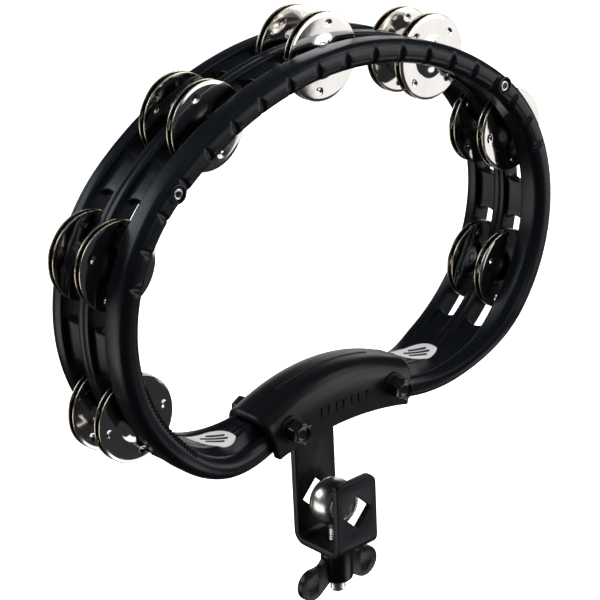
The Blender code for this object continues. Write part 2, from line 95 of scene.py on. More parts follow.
def ranged(tree, value, low, high, start=0.3, end=0.7):
    made = tree.nodes.new("ShaderNodeMapRange")
    made.inputs["From Min"].default_value = start
    made.inputs["From Max"].default_value = end
    made.inputs["To Min"].default_value = low
    made.inputs["To Max"].default_value = high
    tree.links.new(value, made.inputs["Value"])
    return made.outputs["Result"]


def blend_colours(tree, value, first, second, start=0.35, end=0.65):
    ramp = tree.nodes.new("ShaderNodeValToRGB")
    ramp.color_ramp.elements[0].position = start
    ramp.color_ramp.elements[1].position = end
    ramp.color_ramp.elements[0].color = (*first, 1)
    ramp.color_ramp.elements[1].color = (*second, 1)
    tree.links.new(value, ramp.inputs["Fac"])
    return ramp.outputs["Color"]


def bump(tree, shader, value, strength, distance):
    made = tree.nodes.new("ShaderNodeBump")
    made.inputs["Strength"].default_value = strength
    made.inputs["Distance"].default_value = distance
    tree.links.new(value, made.inputs["Height"])
    tree.links.new(made.outputs["Normal"], shader.inputs["Normal"])


def plastic(name, colour, low, high, grain, ior=1.38):
    """Moulded plastic: fine spark-eroded grain, slightly uneven gloss and a trace of handling."""
    mat, tree, shader = new_material(name, colour, 0, (low + high) / 2)
    worn = tuple(min(c * 1.4 + 0.0005, 0.9) for c in colour)
    tree.links.new(blend_colours(tree, noise(tree, 35), colour, worn), shader.inputs["Base Color"])
    tree.links.new(ranged(tree, noise(tree, 90, 6), low, high), shader.inputs["Roughness"])
    bump(tree, shader, noise(tree, 2600, 2), grain, 0.00003)
    shader.inputs["IOR"].default_value = ior
    return mat


def plated(name, colour, tint, low, high, ripple):
    """Nickel plate: mirror bright, with polishing ripple and a faint warm tint in places."""
    mat, tree, shader = new_material(name, colour, 1, (low + high) / 2)
    tree.links.new(blend_colours(tree, noise(tree, 60), colour, tint), shader.inputs["Base Color"])
    tree.links.new(ranged(tree, noise(tree, 180, 6), low, high), shader.inputs["Roughness"])
    bump(tree, shader, noise(tree, 110, 2), ripple, 0.0001)
    return mat


MATS = {
    "abs": plastic("abs_black", (0.0035, 0.0045, 0.0065), 0.26, 0.33, 0.2),
    "cover": plastic("cover_black", (0.004, 0.0046, 0.0058), 0.28, 0.36, 0.25),
    "coat": plastic("powder_coat", (0.0045, 0.0055, 0.0075), 0.32, 0.42, 0.4),
    "nut": plastic("wing_coat", (0.005, 0.0053, 0.006), 0.24, 0.32, 0.25),
    "oxide": plastic("black_zinc", (0.006, 0.006, 0.0065), 0.14, 0.22, 0.15, 1.7),
    "rubber": plastic("boss_black", (0.004, 0.004, 0.0045), 0.45, 0.6, 0.5),
    "label": plastic("label_white", (0.86, 0.82, 0.83), 0.4, 0.5, 0.2),
    "ink": plastic("label_ink", (0.008, 0.008, 0.01), 0.4, 0.5, 0.2),
    "nickel": plated("jingle_nickel", (0.80, 0.77, 0.745), (0.74, 0.71, 0.68), 0.05, 0.10, 0.05),
    # The rim band's material is a brighter, warmer copy of the jingle nickel: a painted warm highlight on
    # the rolled rim.
    "rim": plated("jingle_rim_highlight", (0.92, 0.84, 0.68), (0.84, 0.75, 0.58), 0.2, 0.3, 0.1),
    "eye": plated("eye_nickel", (0.86, 0.83, 0.79), (0.78, 0.75, 0.70), 0.24, 0.32, 0.1),
    "screw": plated("screw_nickel", (0.70, 0.69, 0.67), (0.6, 0.59, 0.57), 0.16, 0.26, 0.1),
}


# ---------------------------------------------------------------- mesh helpers
def add_piece(name, bm, mats, body, nodes, sharp=38):
    """The piece of a bmesh made in mm: shaded smooth up to the sharp angle, riding on a body."""
    bmesh.ops.recalc_face_normals(bm, faces=bm.faces)
    mesh = bpy.data.meshes.new(name)
    bm.to_mesh(mesh)
    bm.free()
    mesh.transform(Matrix.Scale(MM, 4))
    for key in mats:
        mesh.materials.append(MATS[key])
    mesh.shade_smooth()
    mesh.set_sharp_from_angle(angle=math.radians(sharp))
    obj = bpy.data.objects.new(name, mesh)
    bpy.context.scene.collection.objects.link(obj)
    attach(obj, body)
    if nodes:
        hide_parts(*nodes)
    return obj


def loft(bm, rings, closed=False, caps=True, material=0):
    """Quads through rings of points, each ring a closed loop."""
    rows = [[bm.verts.new(p) for p in ring] for ring in rings]
    pairs = list(zip(rows, rows[1:]))
    if closed:
        pairs.append((rows[-1], rows[0]))
    faces = []
    for a, b in pairs:
        for i in range(len(a)):
            j = (i + 1) % len(a)
            faces.append(bm.faces.new((a[i], a[j], b[j], b[i])))
    if caps and not closed:
        faces.append(bm.faces.new(rows[0]))
        faces.append(bm.faces.new(rows[-1]))
    for face in faces:
        face.material_index = material
    return faces


def rounded(corners):
    """A closed outline of (a, b) points from corners (a, b, radius, steps)."""
    points = []
    count = len(corners)
    for i, (a, b, radius, steps) in enumerate(corners):
        here = Vector((a, b))
        if radius <= 0 or steps < 1:
            points.append((a, b))
            continue
        before = (Vector(corners[i - 1][:2]) - here).normalized()
        after = (Vector(corners[(i + 1) % count][:2]) - here).normalized()
        half = before.angle(after) / 2
        if half > math.radians(89):
            points.extend([(a, b)] * (steps + 1))
            continue
        reach = radius / math.tan(half)
        centre = here + (before + after).normalized() * (radius / math.sin(half))
        start = here + before * reach - centre
        turn = math.pi - 2 * half
        if start.x * (here + after * reach - centre).y - start.y * (here + after * reach - centre).x < 0:
            turn = -turn
        for k in range(steps + 1):
            t = turn * k / steps
            points.append(
                (
                    centre.x + start.x * math.cos(t) - start.y * math.sin(t),
                    centre.y + start.x * math.sin(t) + start.y * math.cos(t),
                )
            )
    return points


def lathe_rings(profile, centre, axis, steps, turn=0.0, shape=None):
    """Rings of (radius, along) points about an axis; shape(angle, radius) may change a radius."""
    axis = Vector(axis)
    side = Vector((1, 0, 0)) if abs(axis.x) < 0.5 else Vector((0, 0, 1))
    other = axis.cross(side)
    rings = []
    for radius, along in profile:
        ring = []
        for i in range(steps):
            t = turn + 2 * math.pi * i / steps
            r = shape(t, radius) if shape else radius
            ring.append(Vector(centre) + axis * along + (side * math.cos(t) + other * math.sin(t)) * r)
        rings.append(ring)
    return rings


def bevelled(obj, width, segments, angle=35):
    """Rounds an object's edges at once, so the kept mesh has them."""
    modifier = obj.modifiers.new("round", "BEVEL")
    modifier.width = width * MM
    modifier.segments = segments
    modifier.limit_method = "ANGLE"
    modifier.angle_limit = math.radians(angle)
    modifier.harden_normals = False
    apply_modifiers(obj)


def apply_modifiers(obj):
    graph = bpy.context.evaluated_depsgraph_get()
    mesh = bpy.data.meshes.new_from_object(obj.evaluated_get(graph))
    obj.modifiers.clear()
    obj.data = mesh


def boolean(obj, rings, operation="DIFFERENCE"):
    """Cuts or joins the closed shape of rings, in mm, to an object."""
    bm = bmesh.new()
    loft(bm, rings)
    bmesh.ops.recalc_face_normals(bm, faces=bm.faces)
    mesh = bpy.data.meshes.new("tool")
    bm.to_mesh(mesh)
    bm.free()
    mesh.transform(Matrix.Scale(MM, 4))
    tool = bpy.data.objects.new("tool", mesh)
    bpy.context.scene.collection.objects.link(tool)
    modifier = obj.modifiers.new("cut", "BOOLEAN")
    modifier.operation = operation
    modifier.solver = "EXACT"
    modifier.object = tool
    apply_modifiers(obj)
    bpy.data.objects.remove(tool, do_unlink=True)


def disc_outline(radius, steps, x=0.0, z=0.0, turn=0.0):
    angles = [turn + 2 * math.pi * i / steps for i in range(steps)]
    return [(x + radius * math.cos(t), z + radius * math.sin(t)) for t in angles]


def along_y(outline, *stops):
    return [[Vector((x, y, z)) for x, z in outline] for y in stops]


# ---------------------------------------------------------------- the hoop's path
def outline_arcs():
    """(start, centre, signed radius, start angle) of each arc of half the outline, and its length."""
    arcs, start, angle, point = [], 0.0, 0.0, Vector((0, 0, CROWN_Z))
    for radius, degrees in ARCS:
        centre = point - Vector((math.sin(angle), 0, math.cos(angle))) * radius
        arcs.append((start, centre, radius, angle))
        start += radius * math.radians(degrees)
        angle += math.radians(degrees)
        point = centre + Vector((math.sin(angle), 0, math.cos(angle))) * radius
    over = angle - math.pi
    radius = point.x / math.sin(over)
    centre = point + Vector((math.sin(angle), 0, math.cos(angle))) * radius
    arcs.append((start, centre, -radius, angle))
    return arcs, start + radius * over


PATH, HALF_LENGTH = outline_arcs()


def outline_at(s):
    """(point, outward normal) at a distance round the outline from the crown, either way."""
    s = (s + HALF_LENGTH) % (2 * HALF_LENGTH) - HALF_LENGTH
    start, centre, radius, angle = [arc for arc in PATH if arc[0] <= abs(s)][-1]
    turned = angle + (abs(s) - start) / radius
    out = Vector((math.sin(turned), 0, math.cos(turned)))
    point = centre + out * radius
    if s < 0:
        point.x, out.x = -point.x, -out.x
    return point, out


def place(s, y, inward):
    point, out = outline_at(s)
    return point - out * inward + Vector((0, y, 0))


def ease(value, start, end):
    t = min(max((value - start) / (end - start), 0.0), 1.0)
    return t * t * (3 - 2 * t)


def measures(s):
    """The section's depths, recess and thickness at a distance round the outline."""
    s = (s + HALF_LENGTH) % (2 * HALF_LENGTH) - HALF_LENGTH
    share = abs(s) / HALF_LENGTH
    narrow, narrow_back = ease(share, 0.67, 0.92), ease(share, 0.76, 0.90)
    rounds = ease(share, 0.66, 0.75)
    return {
        "front": FRONT_Y + (GRIP_FRONT - FRONT_Y) * narrow,
        "front_edge": FRONT_EDGE + (GRIP_FRONT_EDGE - FRONT_EDGE) * narrow,
        "back_edge": BACK_EDGE + (GRIP_BACK_EDGE - BACK_EDGE) * narrow_back,
        "back": BACK_Y + (GRIP_BACK - BACK_Y) * narrow_back,
        "recess": 0.5 + (RECESS - 0.5) * (1 - ease(share, 0.695, 0.76)),
        "rounds": rounds,
        "lip": RAIL_T - LIP_DROP * rounds,
        "floor": RAIL_T + FLOOR_GROWS * ease(share, 0.77, 0.885),
    }


# ---------------------------------------------------------------- hoop
def notch_depth(s, around):
    """Depth of the grip grooves at a point of the front rail: around runs 0 to 1 across it."""
    nearest = round(s / NOTCH_PITCH)
    if abs(nearest) > NOTCHES // 2 or not 0 < around < 1:
        return 0.0
    offset = abs(s - nearest * NOTCH_PITCH)
    half = 2.1 * math.sin(math.pi * around) ** 0.8
    if offset >= half:
        return 0.0
    return 1.45 * math.sin(math.pi * around) * (1 - (offset / half) ** 1.6)


def rail_stations():
    """Distances round the outline, closer together at the grooves."""
    base = set()
    steps = 330
    for i in range(steps):
        base.add(round(-HALF_LENGTH + 2 * HALF_LENGTH * i / steps, 3))
    for k in range(-(NOTCHES // 2), NOTCHES // 2 + 1):
        middle = k * NOTCH_PITCH
        base = {s for s in base if abs(s - middle) > 2.6}
        base |= {middle + o for o in (-2.2, -1.7, -1.3, -0.9, -0.45, 0, 0.45, 0.9, 1.3, 1.7, 2.2)}
    return sorted(base)


def front_rail_ring(s):
    m = measures(s)
    front, edge, thick = m["front"], m["front_edge"], m["lip"]
    wide = edge - front
    corners = (
        (edge, 0, 1.2, 4),
        (front, 0, min(4.8, 0.5 * wide), 10),
        (front, thick, min(5.0, 0.52 * wide), 12),
        (edge, thick, min(1.2 + 3.3 * m["rounds"], 0.4 * wide), 8),
        (edge, thick / 2, 0, 0),
    )
    points = rounded(corners)
    ring = []
    first, last = 10, 26
    for i, (y, inward) in enumerate(points):
        depth = notch_depth(s, (i - first) / (last - first))
        if depth:
            middle = Vector((front + thick / 2, thick / 2))
            here = Vector((y, inward))
            here += (middle - here).normalized() * depth
            y, inward = here
        ring.append(place(s, y, inward))
    return ring


def plain_stations(step):
    count = round(2 * HALF_LENGTH / step)
    return [-HALF_LENGTH + 2 * HALF_LENGTH * i / count for i in range(count)]


def mid_ring(s, front_half):
    thick = measures(s)["floor"]
    edge, part = (MID_FRONT, PART_Y - 0.14) if front_half else (MID_BACK, PART_Y + 0.14)
    corners = (
        (edge, 0.5, 1.0, 4),
        (part, 0.5, 0.25, 2),
        (part, thick - 0.5, 0.25, 2),
        (edge, thick - 0.5, 1.0, 4),
    )
    return [place(s, y, inward) for y, inward in rounded(corners)]


def back_rail_ring(s):
    m = measures(s)
    edge, back, thick = m["back_edge"], m["back"], m["floor"]
    corners = (
        (edge, 0, 1.0, 3),
        (back - 3.0, 0, 0, 0),
        (back - 2.85, 0.35, 0, 0),
        (back - 2.6, 0.35, 0, 0),
        (back - 2.45, 0, 0, 0),
        (back, 0, 1.7, 6),
        (back, thick, 2.8, 8),
        (edge, thick, 1.0, 3),
    )
    return [place(s, y, inward) for y, inward in rounded(corners)]


def inner_wall(s, y):
    """How far inward the wall is between the front rail and the middle rail."""
    m = measures(s)
    t = (MID_FRONT - y) / (MID_FRONT - m["front_edge"])
    full = m["floor"] - m["recess"]
    return full + (VALLEY - full) * min(max(t, 0.0), 1.0)


def panel(bm, start, end, low, high):
    """The web between two rails from one slot to the next, with hollow round ends. low and high
    give the rails' edges at a distance round the outline."""
    rings = []
    across, fillet, reach = 18, 0.7, 4.0
    steps = max(6, round((end - start) / 3))
    for k in range(across + 1):
        c = -math.cos(math.pi * k / across)
        bow = reach * (1 - math.sqrt(max(0.0, 1 - c * c)))
        a, b = start - bow, end + bow
        ring = []

        def y_at(s):
            lo, hi = low(s), high(s)
            return (lo + hi) / 2 + c * ((hi - lo) / 2 + 0.5)

        def surface(s, outside):
            return measures(s)["recess"] if outside else inner_wall(s, y_at(s))

        lip = [(fillet * (1 - math.cos(t)), fillet * (1 - math.sin(t))) for t in
               (math.radians(d) for d in (0, 30, 60, 90))]
        for ds, dt in lip:
            ring.append(place(a + ds, y_at(a + ds), surface(a, True) + dt))
        for i in range(1, steps):
            s = a + fillet + (b - a - 2 * fillet) * i / steps
            ring.append(place(s, y_at(s), surface(s, True)))
        for ds, dt in lip[::-1]:
            ring.append(place(b - ds, y_at(b - ds), surface(b, True) + dt))
        for ds, dt in lip:
            ring.append(place(b - ds, y_at(b - ds), surface(b, False) - dt))
        for i in range(1, steps):
            s = b - fillet - (b - a - 2 * fillet) * i / steps
            ring.append(place(s, y_at(s), surface(s, False)))
        for ds, dt in lip[::-1]:
            ring.append(place(a + ds, y_at(a + ds), surface(a, False) - dt))
        rings.append(ring)
    loft(bm, rings)


def panels(bm, low, high):
    slots = [(middle - half, middle + half) for _, _, middle, half in STATIONS]
    starts = [start for start, _ in slots[1:]] + [slots[0][0] + 2 * HALF_LENGTH]
    for (_, end), start in zip(slots, starts):
        panel(bm, end, start, low, high)


def screw_boss(bm, s):
    """The dark cup that a frame screw sits in, sunk in the front rail."""
    point, out = outline_at(s)
    centre = point - out * 5.2
    profile = [
        (3.3, 1.6), (4.1, 0.9), (4.6, -0.1), (4.4, -0.5), (3.9, -0.6), (3.5, -0.3), (3.35, 0.6), (3.3, 1.6)
    ]
    loft(bm, lathe_rings(profile[:-1], centre + Vector((0, FRONT_Y, 0)), (0, 1, 0), 40), closed=True)


RIBS = 22
RIBS_FROM = 212  # along the outline from the crown, to the left
RIB_PITCH = 2.6
RIB_HALF = 0.42
RIB_LEAN = math.radians(48)
RIB_SECTION = ((-1.6, 0.0), (-1.3, -0.16), (1.3, -0.16), (1.6, 0.0), (1.3, 0.9), (-1.3, 0.9))


def embossed_ribs(bm):
    """Fine moulded ribs low on the left of the front rail."""
    slope = Vector((math.cos(RIB_LEAN), math.sin(RIB_LEAN)))
    normal = Vector((slope.y, -slope.x))
    for i in range(RIBS):
        s = -(RIBS_FROM + i * RIB_PITCH)
        m = measures(s)
        middle = Vector((m["front"] + 1.6, m["lip"] - 1.9))
        rings = []
        for along in (-RIB_HALF, RIB_HALF):
            ring = []
            for across, depth in RIB_SECTION:
                spot = middle + slope * across + normal * (-depth)
                ring.append(place(s + along, spot.x, spot.y))
            rings.append(ring)
        loft(bm, rings)


def build_hoop():
    bm = bmesh.new()
    loft(bm, [front_rail_ring(s) for s in rail_stations()], closed=True)
    loft(bm, [mid_ring(s, True) for s in plain_stations(2.4)], closed=True)
    panels(bm, lambda s: measures(s)["front_edge"], lambda s: MID_FRONT)
    for s in (-SCREW_S, SCREW_S):
        screw_boss(bm, s)
    embossed_ribs(bm)
    add_piece("hoop_front", bm, ["abs"], "frame", ["frame_front"])
    bm = bmesh.new()
    loft(bm, [mid_ring(s, False) for s in plain_stations(2.4)], closed=True)
    loft(bm, [back_rail_ring(s) for s in plain_stations(2.4)], closed=True)
    panels(bm, lambda s: MID_BACK, lambda s: measures(s)["back_edge"])
    add_piece("hoop_back", bm, ["abs"], "frame", ["frame_back"])


def build_frame_screws():
    for name, s in (("left", -SCREW_S), ("right", SCREW_S)):
        point, out = outline_at(s)
        centre = point - out * 5.2 + Vector((0, FRONT_Y - 0.35, 0))
        profile = [(1.35, 2.2), (1.35, 0.35), (1.5, 0.1), (1.8, 0), (2.15, 0),
                   (2.4, 0.15), (2.5, 0.5), (2.5, 6)]
        bm = bmesh.new()
        loft(bm, lathe_rings(profile, centre, (0, 1, 0), 40))
        add_piece(f"rivet_{name}", bm, ["screw"], "frame", [f"frame_screw_{name}"])


# ---------------------------------------------------------------- jingles and pins
DIMPLES = 4
DIMPLE_AT, DIMPLE_R, DIMPLE_DEEP = 15.6, 1.9, 0.6
DOME_R, DOME_H = 11.2, 2.2
BOW = 0.0017  # the flange falls away toward its rim by this times the distance squared


def jingle_height(r):
    """Height of the outer surface of a jingle over its rim: a smooth bell, then a flange."""
    if r > DOME_R:
        return -0.1 * ease(r, 18.8, 20.2) - BOW * (r - DOME_R) ** 2
    return DOME_H * (0.5 + 0.5 * math.cos(math.pi * r / DOME_R))


def dimple(r, angle):
    for k in range(DIMPLES):
        a = 2 * math.pi * (k + 0.5) / DIMPLES
        dx = r * math.cos(angle) - DIMPLE_AT * math.cos(a)
        dz = r * math.sin(angle) - DIMPLE_AT * math.sin(a)
        gap = math.hypot(dx, dz)
        if gap < DIMPLE_R:
            return DIMPLE_DEEP * (0.5 + 0.5 * math.cos(math.pi * gap / DIMPLE_R))
    return 0.0


def jingle_mesh(side):
    """One jingle with its flat side toward its partner; side is where the dome points."""
    radii = [2.4, 2.7, 3.4, 4.6, 5.8, 6.8, 7.6, 8.2, 8.6, 9.0, 9.4, 9.8, 10.2, 10.6, 11.0, 11.8]
    radii += [12.6 + 0.4 * i for i in range(14)] + [18.6, 19.2, 19.7, 20.0]
    steps, thick = 112, 0.8
    bm = bmesh.new()

    def ring(r, inside, extra=0.0):
        points = []
        for i in range(steps):
            t = 2 * math.pi * i / steps
            height = jingle_height(r) - dimple(r, t) + (0.0 if inside else thick) + extra
            points.append(Vector((r * math.cos(t), side * height, r * math.sin(t))))
        return points

    def rim(r, height):
        angles = [2 * math.pi * i / steps for i in range(steps)]
        return [Vector((r * math.cos(t), side * height, r * math.sin(t))) for t in angles]

    outer = [ring(r, False) for r in radii]
    inner = [ring(r, True) for r in reversed(radii)]
    edge = [rim(20.2, 0.56), rim(20.4, 0.5), rim(20.5, 0.36),
            rim(20.5, -0.04), rim(20.4, -0.18), rim(20.2, -0.24)]
    loft(bm, outer + edge + inner, closed=True)
    # The rim faces get the brighter, warmer nickel, which paints a warm highlight on the rim band.
    for face in bm.faces:
        centre = face.calc_center_median()
        if math.hypot(centre.x, centre.z) > 20.25:
            face.material_index = 1
    bmesh.ops.recalc_face_normals(bm, faces=bm.faces)
    mesh = bpy.data.meshes.new(f"jingle_shape_{'front' if side < 0 else 'back'}")
    bm.to_mesh(mesh)
    bm.free()
    mesh.transform(Matrix.Scale(MM, 4))
    mesh.materials.append(MATS["nickel"])
    mesh.materials.append(MATS["rim"])
    mesh.shade_smooth()
    return mesh


def build_jingles():
    shapes = {-1: jingle_mesh(-1), 1: jingle_mesh(1)}
    for number, pin, _, _ in STATIONS:
        centre = place(pin, 0, STATION_IN)
        for letter, row, side in zip("abcd", (ROWS[0], ROWS[0], ROWS[1], ROWS[1]), (-1, 1, -1, 1)):
            name = f"jingle_{number}{letter}"
            spin = math.radians(37 * number + 71 * "abcd".index(letter))
            mesh = shapes[side].copy()
            mesh.transform(Matrix.Rotation(spin, 4, "Y"))
            obj = bpy.data.objects.new(f"disc_{number}{letter}", mesh)
            bpy.context.scene.collection.objects.link(obj)
            obj.location = (centre + Vector((0, row + side * PAIR_GAP / 2, -HANG))) * MM
            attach(obj, name)
            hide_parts(name)
        build_pin(number, centre)


def build_pin(number, centre):
    """The pin through both rows, with a collar at each wall that it enters."""
    profile = [(1.5, FRONT_EDGE - 3)]
    for wall, way in ((FRONT_EDGE, 1), (MID_FRONT, -1), (MID_BACK, 1), (BACK_EDGE, -1)):
        collar = [(2.6, wall - 0.3 * way), (2.6, wall + 0.06 * way), (1.5, wall + 0.1 * way)]
        profile += collar if way > 0 else collar[::-1]
    profile.append((1.5, BACK_EDGE + 3))
    bm = bmesh.new()
    loft(bm, lathe_rings(profile, centre, (0, 1, 0), 28))
    add_piece(f"pin_{number}", bm, ["oxide"], "frame", [f"jingle_pin_{number}"])


# ---------------------------------------------------------------- grip cover
COVER_X, COVER_HALF, COVER_WALL = 42.5, 16.3, 2.4
COVER_LOW, COVER_DROP, COVER_HIGH, COVER_FALL = 46.7, 5.6, 26.0, 5.1


def cover_frame(share):
    """(foot, up, height) of the cover's section at a share of its half length, -1 to 1."""
    foot = Vector((COVER_X * share, 0, COVER_LOW - COVER_DROP * share**2))
    slope = 2 * COVER_DROP * share / COVER_X
    return foot, Vector((slope, 0, 1)).normalized(), COVER_HIGH - COVER_FALL * share**2


def arch(half, height, steps, power=2 / 3.6):
    """(out, up) points of a squared arch from its foot to the seam."""
    points = []
    for i in range(steps + 1):
        t = math.pi / 2 * i / steps
        points.append((half * math.cos(t) ** power, height * math.sin(t) ** power))
    return points


SEAM_HALF = 0.14  # half of the gap between the two shells


def build_cover():
    for name, side in (("front", -1), ("back", 1)):
        bm = bmesh.new()
        rings = []
        ends = (0.96, 0.972, 0.982, 0.99, 0.996, 1)
        shares = [-e for e in reversed(ends)] + [-0.94 + 1.88 * i / 56 for i in range(57)] + list(ends)
        for share in shares:
            foot, up, height = cover_frame(share)
            end = 1 - abs(share)
            lip = 0.25 * ease(0.075 - end, 0.0, 0.03)
            tuck = 1.3 * (1 - math.sqrt(1 - min(1.0, max(0.0, 1 - end / 0.035)) ** 2))
            grow = lip - tuck
            outer = arch(COVER_HALF + grow, height + grow, 30)
            inner = arch(COVER_HALF - COVER_WALL - 0.4 * tuck, height - COVER_WALL, 30)
            points = []
            for out, rise in list(outer) + list(inner)[::-1]:
                depth = PART_Y + side * max(out, SEAM_HALF)
                points.append(foot + up * max(rise, tuck) + Vector((0, depth, 0)))
            rings.append(points)
        loft(bm, rings)
        obj = add_piece(
            f"grip_cover_{name}", bm, ["cover"], "frame", [f"cover_{name}"], 40
        )
        for x in (-BOLT_X, BOLT_X):
            boolean(obj, along_y(disc_outline(5.9, 40, x, BOLT_Z), -40, 60))
        obj.data.shade_smooth()
        obj.data.set_sharp_from_angle(angle=math.radians(40))


TEETH = 32
TOOTH_PITCH = 1.6
TOOTH_HALF = 0.4
TOOTH_SECTION = ((PART_Y - 2.1, -0.4), (PART_Y - 1.9, 0.3), (PART_Y - 0.5, 0.3), (PART_Y - 0.3, -0.4))
BARS = 7  # plain bars where the photo has lettering
BAR_PITCH = 4.9
BARS_X = 1.5
BARS_Z = 55.8
BAR_STEP = 0.06  # each bar is this much lower than the one on its left
BAR_HALF_H = 2.3
BAR_ROUND = 0.5


def build_cover_marks():
    """Fine teeth along the cover's seam and plain raised bars on its front face."""
    bm = bmesh.new()
    for i in range(TEETH):
        x = (i - (TEETH - 1) / 2) * TOOTH_PITCH
        foot, up, height = cover_frame(x / COVER_X)
        rings = []
        for along in (-TOOTH_HALF, TOOTH_HALF):
            base = foot + Vector((along, 0, 0))
            rings.append([base + up * (height + rise) + Vector((0, y, 0)) for y, rise in TOOTH_SECTION])
        loft(bm, rings)
    face = PART_Y - COVER_HALF
    for i in range(BARS):
        x = BARS_X + (i - (BARS - 1) / 2) * BAR_PITCH
        z = BARS_Z - BAR_STEP * (i - 3)
        wide = 1.7 if i % 2 else 1.3
        corners = [(x - wide, z - BAR_HALF_H, BAR_ROUND, 3), (x + wide, z - BAR_HALF_H, BAR_ROUND, 3),
                   (x + wide, z + BAR_HALF_H, BAR_ROUND, 3), (x - wide, z + BAR_HALF_H, BAR_ROUND, 3)]
        loft(bm, along_y(rounded(corners), face + 0.6, face - 0.3))
    add_piece("grip_cover_marks", bm, ["cover"], "frame", [], 40)


def hexagon(radius_flat, radius_corner):
    """Radius of a hexagon whose corners are turned off to a circle."""
    def shape(angle, scale):
        sixth = math.pi / 3
        within = (angle + sixth / 2) % sixth - sixth / 2
        return min(radius_flat / math.cos(within), radius_corner) * scale
    return shape


def build_bolts():
    front = PART_Y - COVER_HALF
    back = PART_Y + COVER_HALF
    for name, x in (("left", -BOLT_X), ("right", BOLT_X)):
        bm = bmesh.new()
        at = Vector((x, 0, BOLT_Z))
        boss = [(6.5, front + 4), (6.5, front - 0.2), (6.2, front - 0.5),
                (5.8, front - 0.6), (2, front - 0.6)]
        loft(bm, lathe_rings(boss, at, (0, 1, 0), 48), material=1)
        head = [(0.97, front - 0.4), (1.0, front - 0.7), (1.0, -17.8), (0.97, -18.1)]
        rings = lathe_rings(head, at, (0, 1, 0), 72, math.radians(8), hexagon(5.0, 5.65))
        rings += lathe_rings([(4.75, -18.3), (4.2, -18.35), (3.6, -18.2), (3.4, -17.6), (3.3, -17.0),
                              (2.9, -16.8), (1.2, -16.9), (0.3, -16.9)], at, (0, 1, 0), 72, math.radians(8))
        loft(bm, rings)
        add_piece(f"hex_bolt_{name}", bm, ["oxide", "rubber"], "frame", [f"cover_bolt_{name}"])
        bm = bmesh.new()
        boss = [(6.5, back - 4), (6.5, back + 0.2), (6.2, back + 0.5),
                (5.8, back + 0.6), (2, back + 0.6)]
        loft(bm, lathe_rings(boss, at, (0, 1, 0), 48), material=1)
        nut = [(0.97, back + 0.4), (1.0, back + 0.8), (1.0, back + 5.0), (0.95, back + 5.4)]
        rings = lathe_rings(nut, at, (0, 1, 0), 72, math.radians(8), hexagon(5.0, 5.65))
        rings += lathe_rings([(4.6, back + 5.6), (3.2, back + 5.6), (3.0, back + 5.3),
                              (2.95, back + 6.6), (2.6, back + 6.9),
                              (0.3, back + 6.9)], at, (0, 1, 0), 72, math.radians(8))
        loft(bm, rings)
        add_piece(f"hex_nut_{name}", bm, ["oxide", "rubber"], "frame", [f"cover_nut_{name}"])


# ---------------------------------------------------------------- bracket, eye bolt, wing nut
STRAP_HALF, STRAP_T, LEG_Y = 13.0, 3.5, 16.2
PLATE_Z, FRONT_TOP, BACK_TOP, BEND = -22.7, 17.2, 63.7, 6.5
STRAP_SCREW_X, STRAP_SCREW_Z = 7, 59.2
SHANK_END, WING_X, WING_Z = -48.4, 17.3, -39.2


def strap_ring():
    outer = [(-LEG_Y, FRONT_TOP)]
    steps = 14
    for centre, start in ((-LEG_Y + BEND, math.pi), (LEG_Y - BEND, 1.5 * math.pi)):
        for i in range(steps + 1):
            t = start + math.pi / 2 * i / steps
            outer.append((centre + BEND * math.cos(t), PLATE_Z + BEND + BEND * math.sin(t)))
    outer.append((LEG_Y, BACK_TOP))
    inner = []
    for y, z in outer:
        way = -1 if y < 0 else 1
        cy, cz = way * (LEG_Y - BEND), PLATE_Z + BEND
        if z > cz:
            inner.append((y - way * STRAP_T, z))
        else:
            inner.append((
                cy + (y - cy) * (BEND - STRAP_T) / BEND,
                cz + (z - cz) * (BEND - STRAP_T) / BEND,
            ))
    return outer + inner[::-1]


def build_bracket():
    bm = bmesh.new()
    ring = strap_ring()
    loft(bm, [[Vector((x, y, z)) for y, z in ring] for x in (-STRAP_HALF, STRAP_HALF)])
    obj = add_piece("strap_bracket", bm, ["coat"], "frame", ["bracket"])
    half = 9.0
    diamond = rounded([(half, 0, 0.5, 3), (0, half, 0.5, 3), (-half, 0, 0.5, 3), (0, -half, 0.5, 3)])
    boolean(obj, along_y(diamond, -30, 30))
    for side, corner in ((-1, 3.2), (1, 5.6)):
        cx, cz = side * (STRAP_HALF - corner), FRONT_TOP - corner
        cut = [(side * 20, cz), (side * 20, 30), (cx, 30)]
        for i in range(11):
            t = math.pi / 2 - math.pi / 2 * i / 10
            cut.append((cx + side * corner * math.cos(t), cz + corner * math.sin(t)))
        boolean(obj, along_y(cut, -30, 0))
    well = [[Vector((x, y, z)) for x, y in disc_outline(4.4, 32)] for z in (-40, -10)]
    boolean(obj, well)
    bevelled(obj, 0.45, 3)
    obj.data.shade_smooth()
    obj.data.set_sharp_from_angle(angle=math.radians(50))
    screws = bmesh.new()
    for x in (-STRAP_SCREW_X, STRAP_SCREW_X):
        at = Vector((x, 0, STRAP_SCREW_Z))
        profile = [(2, 8), (2, 16.6), (3.6, 16.6), (3.8, 17), (3.5, 18.2), (0.5, 18.4)]
        loft(screws, lathe_rings(profile, at, (0, 1, 0), 24))
    add_piece(
        "strap_screws", screws, ["oxide"], "frame",
        ["strap_screw_left", "strap_screw_right"],
    )


def thread_rings(radius, deep, pitch, top, bottom):
    """A screw thread down -Z as a radius that winds round."""
    steps, rows = 40, round((top - bottom) / (pitch / 8))
    rings = []
    for k in range(rows + 1):
        z = top + (bottom - top) * k / rows
        taper = 1.0 - 0.9 * ease(bottom + 1.2 - z, 0, 1.2)
        ring = []
        for i in range(steps):
            t = 2 * math.pi * i / steps
            phase = (z / pitch - t / (2 * math.pi)) % 1.0
            height = abs(2 * phase - 1)
            r = radius - deep * (1 - height) - (1 - taper) * 0.9
            ring.append(Vector((r * math.cos(t), r * math.sin(t), z)))
        rings.append(ring)
    return rings


